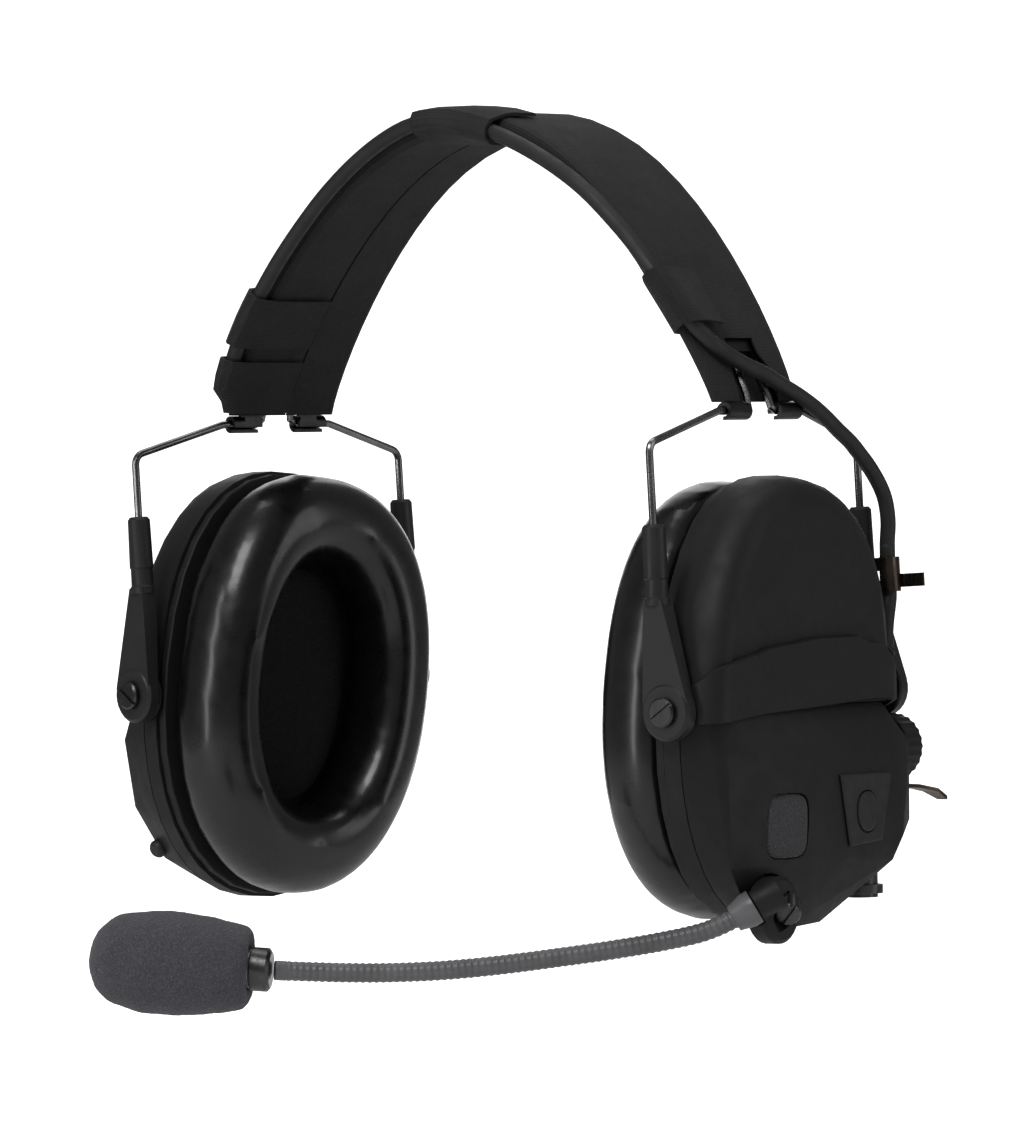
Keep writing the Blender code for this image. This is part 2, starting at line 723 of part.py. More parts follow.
def make_module(side, frame, mats):
    name = f"{SIDE_NAME[side]}_module"
    module = hull(name, module_points(side), frame, mats["shell"])
    cut(module, hull(f"{name}_hollow", hollow_points(side), frame, mats["shell"]))
    cut(module, screw_hole(f"{name}_hole_front", side, -1, frame, mats))
    return module


STRAP_PATH = [
    # inner face: outboard and to the rear; outer face: the same; lower and upper edge
    (4.0, -44.85, 4.0, -45.35, -5.0, 4.4), (7.4, -44.5, 8.0, -45.3, -5.2, 6.4),
    (9.9, -43.2, 10.9, -44.2, -5.1, 8.6), (11.8, -41.3, 13.0, -42.1, -4.9, 9.6),
    (12.4, -38.6, 13.8, -39.0, -4.6, 10.4), (12.4, -34.0, 13.8, -34.0, -4.0, 11.5),
    (12.4, -27.0, 13.8, -27.0, -3.3, 12.6), (12.4, -22.5, 13.8, -22.5, -3.0, 13.9),
    (12.4, 0.0, 13.8, 0.0, -2.0, 16.0), (12.4, 17.5, 13.8, 17.5, -1.0, 16.1),
    (12.4, 22.5, 13.8, 22.5, -0.8, 14.4), (12.4, 28.5, 13.8, 28.5, -0.8, 13.9),
    (12.4, 31.8, 13.8, 32.2, -1.0, 11.2), (11.8, 34.5, 12.9, 35.3, -1.2, 8.0),
    (9.9, 36.4, 10.7, 37.7, -1.8, 5.0), (7.4, 37.6, 8.0, 39.0, -2.8, 2.2),
    (4.0, 37.9, 4.0, 39.3, -3.4, 1.6), (1.0, 37.9, 1.0, 39.3, -3.6, 1.6),
]


def make_strap(side, frame, mats):
    """The strap across the shell, ending in a round boss behind each arm's eye."""
    name = f"{SIDE_NAME[side]}_strap"
    rings = []
    for inner_x, inner_y, outer_x, outer_y, low, high in STRAP_PATH:
        rings.append([
            (inner_x, inner_y, low), (outer_x, outer_y, low + 0.4),
            (outer_x, outer_y, high - 0.4), (inner_x, inner_y, high),
        ])
    strap = loft(name, rings, frame, mats["shell"])
    for front in (-1, 1):
        tag = "rear" if front > 0 else "front"
        start = BOSS_START[front]
        boss = turned(
            f"{name}_boss_{tag}", (0, start * front, PIVOT_RISE * front), (0, front, 0),
            [(0, BOSS_RADIUS[front]), (EYE_INNER - GAP - start, BOSS_RADIUS[front] - 0.2)], frame, mats["shell"], 26,
        )
        join(strap, boss)
    for front in (-1, 1):
        tag = "rear" if front > 0 else "front"
        cut(strap, screw_hole(f"{name}_hole_{tag}", side, front, frame, mats))


# ---------------------------------------------------------------- left cup's fittings


def make_battery(cup, cap_frame, shell, module, mats):
    """A cell in a tube that crosses the cup, closed by a fluted cap at the rear."""
    centre = (CELL_X, CELL_REAR + 2.6, CELL_Z)
    tube = [(0, 7.55), (0, 8.1), (55, 8.1), (55, 7.55)]
    turned("battery_tube", centre, (0, -1, 0), tube, cup, mats["shell"], 24, closed=True)
    cell = [
        (0, CELL_RADIUS - 0.5), (0.5, CELL_RADIUS), (CELL_LENGTH - 2.0, CELL_RADIUS),
        (CELL_LENGTH - 1.5, CELL_RADIUS - 0.6), (CELL_LENGTH - 1.4, 2.7), (CELL_LENGTH, 2.6),
    ]
    turned("battery", (CELL_X, CELL_REAR, CELL_Z), (0, -1, 0), cell, cup, mats["cell"], 24)
    for target in (shell, module):
        opening = turned(
            f"{target.name}_battery_way", (CELL_X, 22, CELL_Z), (0, 1, 0),
            [(0, 8.4), (25, 8.4)], cup, mats["shell"], 24,
        )
        cut(target, opening)
    cap = turned(
        "battery_cap", (CELL_X, 39.2, CELL_Z), (0, 1, 0),
        [(0, CAP_RADIUS - 0.4), (0.5, CAP_RADIUS), (6.6, CAP_RADIUS), (7.6, CAP_RADIUS - 0.9)],
        cap_frame, mats["shell"], 48, flutes=0.35,
    )
    spigot = turned(
        "battery_cap_spigot", (CELL_X, 36.2, CELL_Z), (0, 1, 0), [(0, 7.2), (4.2, 7.2)],
        cap_frame, mats["shell"], 24,
    )
    join(cap, spigot)


def make_tether(cup, mats):
    """A short flat tab under the battery cap that keeps the cap from being lost."""
    path = [(9.0, 39.0, -23.4), (11.5, 44.0, -23.8), (13.6, 49.0, -25.0), (14.6, 53.0, -27.2)]
    wide = [1.5, 2.2, 2.5, 1.6]
    rings = []
    for (x, y, z), half in zip(path, wide):
        rings.append([
            (x - half, y, z - 0.5), (x + half, y, z - 0.5), (x + half, y, z + 0.5), (x - half, y, z + 0.5),
        ])
    loft("cap_tether", rings, cup, mats["metal"])


def make_button(cup, button_frame, module, mats):
    """An oval push button in a raised trapezoid pad."""
    y, z = BUTTON_CENTRE
    corners = [(2.2, -19.1), (25.3, -19.2), (20.5, -36.8), (6.0, -37.9)]
    points = []
    for x, inset in ((MODULE_FACE + GAP, 0.0), (MODULE_FACE + 1.0, 0.05)):
        for a, b in corners:
            points.append((x, a + (y - a) * inset, b + (z - b) * inset))
    pad = hull("button_pad", points, cup, mats["button"])
    for target in (pad, module):
        well = pad_shape(
            f"{target.name}_button_well", (10.5, y, z), (0, 1, 0), (0, 0, 1),
            (BUTTON_HALF[0] + GAP, BUTTON_HALF[1] + GAP), 2.2, [(0, 1), (12, 1)], cup, mats["shell"],
        )
        cut(target, well)
    pad_shape(
        "power_button", (14.6, y, z), (0, 1, 0), (0, 0, 1), BUTTON_HALF, 2.2,
        [(0, 1), (3.6, 1), (4.0, 0.85)], button_frame, mats["button"],
    )


def make_port(cup, module, mats):
    """The outside microphone's foam window on the module's slanted front facet."""
    centre = (14.5, -17.5, -31.5)
    across = (0.232, 0.973, 0.0)
    up = (0.06, -0.015, 1.0)
    half = (7.1, 8.2)
    way = pad_shape(
        "port_way", centre, across, up, (half[0] + GAP, half[1] + GAP), 4.0, [(-5, 1), (4, 1)],
        cup, mats["shell"],
    )
    cut(module, way)
    pad_shape(
        "port_foam", centre, across, up, half, 4.0, [(-2.0, 1), (-0.1, 1), (0.3, 0.92)], cup, mats["window"],
    )


def make_connector(cup, module, mats):
    """A round socket facing down, locked by a ring nut."""
    centre = (5.0, 29.5)
    way = turned(
        "connector_way", (*centre, -40), (0, 0, -1), [(0, 4.35), (20, 4.35)], cup, mats["shell"], 20,
    )
    cut(module, way)
    socket = [(0, 4.0), (9.0, 4.0), (9.0, 2.8), (4.0, 2.6)]
    turned("connector_socket", (*centre, -43.0), (0, 0, -1), socket, cup, mats["metal"], 20)
    nut = [(0, 4.35), (0, 5.3), (2.4, 5.3), (2.4, 4.35)]
    turned("connector_nut", (*centre, -48.6), (0, 0, -1), nut, cup, mats["metal"], 24, closed=True)


def make_boom(clamp_frame, screw_frame, mats):
    """The swivelling clamp, its thumbscrew, the gooseneck and the microphone in its windscreen."""
    clamp = turned(
        "boom_clamp", SWIVEL, (1, 0, 0),
        [(0, CLAMP_RADIUS - 0.4), (0.5, CLAMP_RADIUS), (4.6, CLAMP_RADIUS), (5.4, CLAMP_RADIUS - 1.0)],
        clamp_frame, mats["shell"], 28,
    )
    exit_point = Vector(BOOM_EXIT)
    out = Vector(BOOM_AXIS).normalized()
    neck = turned(
        "boom_clamp_neck", exit_point - out * 7.5, out, [(0, 4.3), (7.2, 4.0)], clamp_frame, mats["shell"], 16,
    )
    join(clamp, neck)
    face = Vector(SCREW_FACE)
    turn = Vector(SCREW_AXIS).normalized()
    pocket = turned(
        "boom_clamp_pocket", face - turn * 5.9, turn, [(0, 3.75), (9, 3.75)], clamp_frame, mats["shell"], 20,
    )
    cut(clamp, pocket)
    gland_way = turned(
        "boom_clamp_gland_way", exit_point - out * 0.2, out, [(0, 4.95), (12, 4.95)], clamp_frame, mats["shell"], 20,
    )
    cut(clamp, gland_way)
    thumb = turned(
        "thumbscrew", face - turn * 5.5, turn, [(0, 3.3), (4.9, 3.4), (5.5, 3.0)],
        screw_frame, mats["metal"], 32, flutes=0.2,
    )
    side = turn.orthogonal().normalized()
    other = turn.cross(side)
    points = []
    for a in (-5, 5):
        for b in (-0.45, 0.45):
            for c in (-0.8, 2):
                points.append(face + side * a + other * b + turn * c)
    cut(thumb, hull("thumbscrew_slot", points, screw_frame, mats["metal"]))
    gland = [(0, 2.9), (0, 4.6), (2.2, 4.6), (5.2, 3.7), (6.2, 3.5), (6.2, 2.9)]
    turned("boom_gland", exit_point + out * 0.1, out, gland, clamp_frame, mats["boom"], 18, closed=True)
    back = Vector(WINDSCREEN_START)
    away = Vector(WINDSCREEN_AXIS).normalized()
    route = [
        exit_point + out * 0.5, exit_point + out * 6.5, (3.2, -39.3, -57.4), (-9.9, -49.3, -60.5),
        (-22.0, -58.4, -62.4), (-38.2, -70.6, -64.7), (-54.4, -82.8, -65.9), (-68.5, -93.5, -65.8),
        (-78.6, -101.1, -65.2), back - away * 6.2,
    ]
    swept("gooseneck", smooth_path(route, 6.5), BOOM_RADIUS, clamp_frame, mats["boom"])
    turned(
        "mic_neck", back - away * 5.3, away, [(0, 4.6), (0.8, NECK_RADIUS), (5.0, NECK_RADIUS)],
        clamp_frame, mats["boom"], 20,
    )
    turned("mic_capsule", back, away, [(0, 5.0), (13, 5.0), (14, 4.2)], clamp_frame, mats["metal"], 20)
    foam = [
        (0, 5.4), (0, 9.6), (1.2, 10.6), (8, 12.2), (18, 13.3), (28, 13.1), (35, 11.4), (39.2, 8.0), (41, 3.5),
        (41, 1.2), (16, 1.2), (15.5, 5.4),
    ]
    turned("windscreen", back, away, foam, clamp_frame, mats["windscreen"], 24, closed=True)


# ---------------------------------------------------------------- crossover cable


CABLE_AT_CUP = [
    # in the left fork's own directions, from beside the band down to the shell
    (1.5, 19.2, 76.4), (1.3, 26.0, 72.8), (1.3, 32.0, 68.8), (1.8, 37.5, 65.1), (3.2, 43.0, 58.5),
    (4.6, 46.3, 51.9), (5.1, 47.0, 45.3), (4.4, 47.0, 39.0), (4.2, 47.0, 33.0), (4.2, 47.0, 26.0),
    (4.4, 45.8, 22.5), (5.0, 44.0, 19.0), (5.6, 42.4, 15.5), (6.3, 41.2, 12.6), (6.4, 39.3, 10.6),
]


def make_cable(band, cup, mats):
    """The cable over the band and down to the left cup, as one piece at rest."""
    toe = math.radians(TOE_IN)
    swing = math.radians(YOKE_SWING[LEFT])
    drop = BEND_DROP + ARM_DROP[LEFT] + ARM_LENGTH - PIVOT_RISE
    outboard = PIVOT_OUTBOARD * math.cos(swing) + drop * math.sin(swing)
    fall = drop * math.cos(swing) - PIVOT_OUTBOARD * math.sin(swing)
    centre = Vector((
        HOOK_HALF + outboard * math.cos(toe) - LEG_FORWARD * math.sin(toe),
        outboard * math.sin(toe) + LEG_FORWARD * math.cos(toe),
        -BAND_HEIGHT - fall,
    ))
    points = []
    for angle, height, y in reversed(CABLE_ON_BAND):
        if angle <= CABLE_FAR_END:
            points.append(Vector(band_point(angle, height, y)))
    upright = []
    for x, y, z in CABLE_AT_CUP:
        level_x = x * math.cos(swing) - z * math.sin(swing)
        level_z = x * math.sin(swing) + z * math.cos(swing)
        upright.append(Vector((level_x, y, level_z)))
        turned_x = level_x * math.cos(toe) - y * math.sin(toe)
        turned_y = level_x * math.sin(toe) + y * math.cos(toe)
        points.append(centre + Vector((turned_x, turned_y, level_z)))
    swept("crossover_cable", smooth_path(points, 5.5), CABLE_RADIUS, band, mats["rubber"])
    end = upright[-1]
    into = (end - upright[-2]).normalized()
    gland = [(0, CABLE_RADIUS + GAP), (0, 2.9), (1.6, 3.1), (1.6, CABLE_RADIUS + GAP)]
    turned("cable_gland", end - into * 1.6, into, gland, cup, mats["rubber"], 18, closed=True)


def make_clip(slider, mats):
    """A sprung metal clip: one end grips the rear arm's socket, the other holds the cable."""
    arm = (-PIVOT_OUTBOARD, LEG_HALF)
    cable = (4.2, 47.0)
    grips = []
    for tag, centre, inner, low, high, first, last in (
        ("arm", arm, SOCKET_RADIUS + 0.65, 32.0, 35.5, 35, 250),
        ("cable", cable, CABLE_RADIUS + 0.35, 26.5, 35.5, -100, 165),
    ):
        angles = [math.radians(first + (last - first) * i / 12) for i in range(13)]
        profile = [(centre[0] + inner * math.cos(a), centre[1] + inner * math.sin(a)) for a in angles]
        wide = inner + 0.8
        profile += [(centre[0] + wide * math.cos(a), centre[1] + wide * math.sin(a)) for a in reversed(angles)]
        rings = [[(x, y, z) for x, y in profile] for z in (low, high)]
        name = "cable_clip" if tag == "arm" else "cable_clip_saddle"
        grips.append(loft(name, rings, slider, mats["metal"]))
    tail = []
    for x, y in ((5.8, 49.0), (13.0, 50.0)):
        for z in (27.5, 31.0):
            tail += [(x, y, z), (x, y + 0.8, z)]
    join(grips[0], grips[1])
    join(grips[0], box("cable_clip_bridge", (0.7, 47.6, 32.0), (2.0, 49.4, 35.5), slider, mats["metal"]))
    join(grips[0], hull("cable_clip_tail", tail, slider, mats["metal"]))


def make_side(side, band, mats):
    """One yoke with its arms and cup. It returns the frames and pieces that fittings go on."""
    name = SIDE_NAME[side]
    hook = (side * HOOK_HALF, 0, -BAND_HEIGHT)
    fixed = Frame(f"{name}_hook_frame", side, hook, (0, 0, side * TOE_IN))
    make_bracket(side, band, fixed, mats)
    yoke = Frame(f"{name}_yoke_frame", side, hook, (0, -side * YOKE_SWING[side], side * TOE_IN))
    make_wire(side, yoke, mats)
    drop = BEND_DROP + ARM_DROP[side] + ARM_LENGTH - PIVOT_RISE
    slider = Frame(f"{name}_slider_frame", side, (PIVOT_OUTBOARD, LEG_FORWARD, -drop), parent=yoke)
    for end in ("front", "rear"):
        make_arm(side, end, slider, mats)
    cup = Frame(f"{name}_cup_frame", side, (0, 0, 0), (0, side * YOKE_SWING[side], 0), parent=slider)
    for end in ("front", "rear"):
        make_screw(side, end, cup, mats)
    make_cushion(side, cup, mats)
    make_cup_inside(side, cup, mats)
    shell = make_shell(side, cup, mats)
    module = make_module(side, cup, mats)
    make_strap(side, cup, mats)
    return slider, cup, shell, module


def build():
    clear_scene()
    mats = paint()
    band = Frame("headband_frame", LEFT, (0, 0, 0))
    make_headband(band, mats)
    make_sleeves(band, mats)
    slider, cup, shell, module = make_side(LEFT, band, mats)
    cap_centre = (CELL_X, 39.2, CELL_Z)
    cap_frame = Frame("cap_frame", LEFT, cap_centre, parent=cup, about=cap_centre)
    make_battery(cup, cap_frame, shell, module, mats)
    make_tether(cup, mats)
    button_centre = (14.6, *BUTTON_CENTRE)
    button_frame = Frame("button_frame", LEFT, button_centre, parent=cup, about=button_centre)
    make_button(cup, button_frame, module, mats)
    make_port(cup, module, mats)
    make_connector(cup, module, mats)
    recess = turned(
        "boom_recess", (10.4, SWIVEL[1], SWIVEL[2]), (1, 0, 0), [(0, 9.3), (20, 9.3)], cup, mats["shell"], 28,
    )
    cut(module, recess)
    clamp_frame = Frame("clamp_frame", LEFT, SWIVEL, parent=cup, about=SWIVEL)
    screw_frame = Frame("thumbscrew_frame", LEFT, SCREW_FACE, parent=cup, about=SCREW_FACE)
    make_boom(clamp_frame, screw_frame, mats)
    make_cable(band, cup, mats)
    make_clip(slider, mats)
    right_cup = make_side(RIGHT, band, mats)[1]
    turned(
        "right_mic_port", (9.7, -34.0, -43.5), (0.4, -0.75, -0.5), [(0, 2.6), (2.6, 2.4), (3.2, 1.8)],
        right_cup, mats["rubber"], 16,
    )


build()
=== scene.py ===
"""Looks of the communications headset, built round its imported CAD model."""

import json
import math

import bmesh  # noqa: E402
import bpy  # noqa: E402
from mathutils import Matrix, Vector, noise  # noqa: E402


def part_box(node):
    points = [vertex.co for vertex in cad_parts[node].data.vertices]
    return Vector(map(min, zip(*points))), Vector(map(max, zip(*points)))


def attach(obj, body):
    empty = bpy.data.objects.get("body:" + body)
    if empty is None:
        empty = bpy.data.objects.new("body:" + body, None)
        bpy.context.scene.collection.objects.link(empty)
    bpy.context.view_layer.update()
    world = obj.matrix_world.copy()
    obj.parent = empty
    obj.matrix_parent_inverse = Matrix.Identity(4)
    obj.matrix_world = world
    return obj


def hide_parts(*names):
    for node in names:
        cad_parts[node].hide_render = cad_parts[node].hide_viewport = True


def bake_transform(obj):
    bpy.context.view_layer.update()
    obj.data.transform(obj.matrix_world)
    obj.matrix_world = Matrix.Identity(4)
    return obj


MM = 0.001

# Camera: seen from 42.9 degrees right of the front, almost level
AZIMUTH = 42.94
ELEVATION = 0.52
ROLL = -1.14
DISTANCE = 2.2
LENS = 266.8
AIM_RIGHT = 0.28
AIM_UP = -38.22
HEIGHT_SHIFT = -74.5

# Soft goods
VOXEL = 2.2
CLOTH_FRAMES = 14
CUSHION_SWELL = 1.3
CUSHION_LOFT = 0.13
TOE_IN = 6.0

# Centre line of the cable from the right end of the headband to the left cup, in millimetres
CABLE_ROUTE = [
    (-84.1, -21.6, -63.5), (-81.5, -22.3, -58.6), (-77.5, -23.1, -52.0), (-71.5, -23.8, -43.6),
    (-64.7, -24.0, -35.2), (-58.7, -24.0, -28.5), (-51.7, -24.0, -21.6), (-43.8, -24.0, -14.6),
    (-34.0, -24.0, -7.5), (-23.5, -24.0, -1.6), (-12.9, -24.0, 2.4), (-3.0, -24.0, 3.5),
    (7.5, -24.0, 2.6), (19.0, -24.0, -0.8), (30.4, -24.0, -5.5), (40.9, -24.0, -11.0),
    (50.3, -24.0, -17.1), (59.0, -23.9, -24.4), (66.1, -23.5, -31.4), (73.1, -22.7, -39.8),
    (79.8, -20.7, -48.8), (84.6, -15.8, -56.6), (86.0, -11.0, -59.9), (86.7, -4.7, -62.7),
    (87.1, 2.0, -65.0), (87.6, 7.2, -67.5), (88.2, 13.0, -70.2), (88.9, 18.0, -73.0),
    (88.9, 23.0, -75.9), (88.6, 29.0, -79.8), (88.7, 34.5, -83.6), (89.8, 40.2, -90.0),
    (91.1, 43.6, -96.6), (91.8, 44.4, -103.1), (91.4, 44.4, -109.5), (91.4, 44.4, -115.5),
    (91.7, 44.4, -122.5), (92.2, 43.3, -125.9), (93.1, 41.5, -129.4), (94.0, 40.0, -132.9),
    (94.9, 38.9, -135.8), (95.3, 37.1, -137.8),
]
CABLE_RADIUS = 2.05

# Centre line of the gooseneck from the clamp to the microphone, in millimetres
BOOM_ROUTE = [
    (110.3, -32.6, -200.0), (106.5, -36.2, -202.9), (100.8, -41.4, -206.0), (93.0, -48.8, -208.2),
    (83.5, -57.7, -210.1), (73.1, -67.4, -211.8), (62.9, -76.9, -213.3), (52.9, -86.2, -214.3),
    (43.5, -95.0, -214.6), (35.2, -102.8, -214.4), (25.9, -111.4, -213.8), (22.4, -115.7, -213.4),
]
BOOM_RADIUS = 2.5
RIB_PITCH = 1.7
RIB_DEPTH = 0.16


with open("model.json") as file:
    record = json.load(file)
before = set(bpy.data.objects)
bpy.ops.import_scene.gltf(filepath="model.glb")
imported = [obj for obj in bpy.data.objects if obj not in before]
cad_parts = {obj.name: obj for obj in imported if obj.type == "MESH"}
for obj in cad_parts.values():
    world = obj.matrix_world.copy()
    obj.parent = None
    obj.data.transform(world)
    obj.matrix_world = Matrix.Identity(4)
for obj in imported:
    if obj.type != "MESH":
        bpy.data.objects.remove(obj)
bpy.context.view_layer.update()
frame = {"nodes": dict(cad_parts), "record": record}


# ---------------------------------------------------------------- materials


class Nodes:
    """A material's node tree, with short calls for what the finishes share."""

    def __init__(self, name, base, rough, **sockets):
        self.mat = bpy.data.materials.new(name)
        self.mat.use_nodes = True
        self.tree = self.mat.node_tree
        self.shader = self.tree.nodes["Principled BSDF"]
        self.shader.inputs["Base Color"].default_value = (*base, 1)
        self.shader.inputs["Roughness"].default_value = rough
        for key, value in sockets.items():
            self.shader.inputs[key.replace("_", " ")].default_value = value
        self.base = base
        self.place = self.new("ShaderNodeTexCoord").outputs["Object"]

    def new(self, kind, **settings):
        node = self.tree.nodes.new(kind)
        for key, value in settings.items():
            setattr(node, key, value)
        return node

    def link(self, a, b):
        self.tree.links.new(a, b)

    def noise(self, scale, detail=3.0, roughness=0.55):
        node = self.new("ShaderNodeTexNoise")
        node.inputs["Scale"].default_value = scale
        node.inputs["Detail"].default_value = detail
        node.inputs["Roughness"].default_value = roughness
        self.link(self.place, node.inputs["Vector"])
        return node.outputs["Fac"]

    def cells(self, scale, feature="F1"):
        node = self.new("ShaderNodeTexVoronoi", feature=feature)
        node.inputs["Scale"].default_value = scale
        self.link(self.place, node.inputs["Vector"])
        return node.outputs["Distance"]

    def math(self, operation, a, b=None):
        node = self.new("ShaderNodeMath", operation=operation)
        for socket, value in zip(node.inputs, (a, b)):
            if value is None:
                continue
            if isinstance(value, (int, float)):
                socket.default_value = value
            else:
                self.link(value, socket)
        return node.outputs[0]

    def ramp(self, value, low, high, start=0.3, end=0.7):
        node = self.new("ShaderNodeMapRange")
        node.inputs["From Min"].default_value = start
        node.inputs["From Max"].default_value = end
        node.inputs["To Min"].default_value = low
        node.inputs["To Max"].default_value = high
        self.link(value, node.inputs["Value"])
        return node.outputs["Result"]

    def colour(self, value, dark, light, start=0.3, end=0.7):
        """The base colour times a factor that varies between dark and light."""
        node = self.new("ShaderNodeValToRGB")
        node.color_ramp.elements[0].position = start
        node.color_ramp.elements[1].position = end
        node.color_ramp.elements[0].color = (*[c * dark for c in self.base], 1)
        node.color_ramp.elements[1].color = (*[c * light for c in self.base], 1)
        self.link(value, node.inputs["Fac"])
        self.link(node.outputs["Color"], self.shader.inputs["Base Color"])

    def rough(self, value, low, high, start=0.3, end=0.7):
        self.link(self.ramp(value, low, high, start, end), self.shader.inputs["Roughness"])

    def bump(self, *layers):
        """Each layer is a height, its strength and its depth in millimetres."""
        normal = None
        for height, strength, depth in layers:
            node = self.new("ShaderNodeBump")
            node.inputs["Strength"].default_value = strength
            node.inputs["Distance"].default_value = depth * MM
            self.link(height, node.inputs["Height"])
            if normal:
                self.link(normal, node.inputs["Normal"])
            normal = node.outputs["Normal"]
        self.link(normal, self.shader.inputs["Normal"])


def moulded(name, base, rough, grain=3200.0, depth=0.05, **sockets):
    """Moulded plastic with a fine spark texture, slight flow marks and uneven gloss."""
    n = Nodes(name, base, rough, **sockets)
    spark = n.noise(grain, 2.0)
    broad = n.noise(45.0, 4.0)
    n.colour(broad, 0.86, 1.16)
    n.rough(n.noise(160.0, 3.0), rough - 0.07, rough + 0.07)
    n.bump((spark, 0.5, depth), (n.noise(60.0, 2.0), 0.2, 0.12))
    return n.mat


def woven(name, base, pitch=0.9, strength=1.0):
    """Closely woven nylon: threads across the band and along it, with a pebbled face."""
    n = Nodes(name, base, 0.82, Sheen_Weight=0.04, Sheen_Roughness=0.5, Specular_IOR_Level=0.25)
    split = n.new("ShaderNodeSeparateXYZ")
    n.link(n.place, split.inputs["Vector"])
    along = n.math("ARCTAN2", n.math("ADD", split.outputs["Z"], 0.0745), split.outputs["X"])
    turns = n.math("SINE", n.math("MULTIPLY", along, math.tau * 88 / pitch))
    rows = n.math("SINE", n.math("MULTIPLY", split.outputs["Y"], math.tau * 1000 / pitch))
    weave = n.math("ABSOLUTE", n.math("MULTIPLY", turns, rows))
    pebble = n.noise(950.0, 4.0, 0.65)
    height = n.math("ADD", n.math("MULTIPLY", weave, 0.6), pebble)
    mottle = n.math("MULTIPLY", n.noise(70.0, 4.0), 0.55)
    # painted shade: the colour follows the weave's bump height, darker in its hollows; the mottle added to it is
    # random tone
    n.colour(n.math("ADD", mottle, n.math("MULTIPLY", height, 0.35)), 0.6, 1.4)
    n.rough(pebble, 0.72, 0.92)
    n.bump((height, strength, 0.28), (n.noise(120.0, 3.0), 0.5, 0.5))
    return n.mat


def vinyl(name, base):
    """Soft glossy vinyl skin, faintly creased."""
    n = Nodes(name, base, 0.3, Coat_Weight=0.3, Coat_Roughness=0.16, Specular_IOR_Level=0.42)
    crease = n.noise(210.0, 4.0, 0.6)
    n.colour(n.noise(40.0, 3.0), 0.8, 1.3)
    n.rough(crease, 0.25, 0.37)
    n.bump((n.cells(1500.0), 0.12, 0.05), (crease, 0.22, 0.14))
    return n.mat


def foam(name, base, cell=1500.0, depth=0.5, dark=0.42, light=1.5, sheen=0.12):
    """Open-cell foam: painted shade darkens the pores and painted light brightens the walls between them, over a
    random speckle.
    """
    n = Nodes(name, base, 0.97, Sheen_Weight=sheen, Sheen_Roughness=0.6, Specular_IOR_Level=0.2)
    pores = n.cells(cell)
    speckle = n.noise(cell * 0.8, 3.0, 0.7)
    # painted shade and light: the colour follows the pore depth of the bump cells, darker in the pores and paler on
    # the walls; the speckle is random tone
    n.colour(n.math("ADD", n.math("MULTIPLY", pores, 0.45), n.math("MULTIPLY", speckle, 0.6)), dark, light, 0.25, 0.78)
    n.bump((pores, 0.9, depth), (n.noise(260.0, 3.0), 0.4, 0.4))
    return n.mat


def rubber(name, base, rough=0.55):
    n = Nodes(name, base, rough, Specular_IOR_Level=0.4)
    n.colour(n.noise(90.0, 4.0), 0.8, 1.22)
    n.rough(n.noise(240.0, 3.0), rough - 0.09, rough + 0.09)
    n.bump((n.noise(1800.0, 2.0), 0.35, 0.05), (n.noise(150.0, 3.0), 0.2, 0.1))
    return n.mat


def metal(name, base, rough, brushed=True):
    """Plated or blackened metal with fine draw marks and slight tarnish."""
    n = Nodes(name, base, rough, Metallic=1.0)
    stretch = n.new("ShaderNodeMapping")
    stretch.inputs["Scale"].default_value = (1.0, 1.0, 0.08 if brushed else 1.0)
    n.link(n.place, stretch.inputs["Vector"])
    marks = n.new("ShaderNodeTexNoise")
    marks.inputs["Scale"].default_value = 2600.0
    n.link(stretch.outputs["Vector"], marks.inputs["Vector"])
    n.colour(n.noise(130.0, 4.0), 0.72, 1.2)
    n.rough(marks.outputs["Fac"], rough - 0.08, rough + 0.1)
    n.bump((marks.outputs["Fac"], 0.25, 0.03))
    return n.mat


MATS = {
    "fabric": woven("headband_nylon", (0.019, 0.019, 0.0192)),
    "pad": woven("headband_lining", (0.015, 0.015, 0.0155), 0.9, 0.5),
    "spring_steel": metal("spring_steel", (0.42, 0.42, 0.43), 0.35),
    "wire": metal("dark_nickel", (0.20, 0.20, 0.205), 0.25, False),
    "bracket": metal("blackened_bracket", (0.05, 0.05, 0.052), 0.36),
    "arm": moulded("moulded_arm", (0.017, 0.017, 0.0174), 0.45, 2600.0, 0.04, Specular_IOR_Level=0.34),
    "screw": metal("blackened_screw", (0.07, 0.07, 0.072), 0.36),
    "shell": moulded("moulded_shell", (0.0105, 0.0105, 0.0107), 0.56, Specular_IOR_Level=0.28),
    "strap": moulded("moulded_strap", (0.009, 0.009, 0.0092), 0.5, Specular_IOR_Level=0.28),
    "vinyl": vinyl("cushion_vinyl", (0.0028, 0.0028, 0.0027)),
    "liner": foam("liner_foam", (0.010, 0.010, 0.0095), 1700.0, 0.25, 0.7, 1.2, 0.0),
    "inside_metal": metal("inside_aluminium", (0.6, 0.6, 0.6), 0.35),
    "board": moulded("circuit_board", (0.02, 0.12, 0.05), 0.4),
    "cell": metal("cell_can", (0.25, 0.25, 0.26), 0.35),
    "clip_metal": metal("brown_spring_clip", (0.075, 0.06, 0.05), 0.32),
    "connector": metal("black_connector", (0.085, 0.085, 0.087), 0.34),
    "rubber": rubber("black_rubber", (0.014, 0.014, 0.0143)),
    "button": rubber("button_silicone", (0.016, 0.016, 0.0164), 0.6),
    "foam_window": foam("port_foam", (0.048, 0.048, 0.052), 2300.0, 0.22, 0.5, 1.5),
    "boom": rubber("boom_sleeve", (0.12, 0.116, 0.122), 0.36),
    "windscreen": foam("windscreen_foam", (0.064, 0.063, 0.073), 2300.0, 0.22, 0.5, 1.5),
}
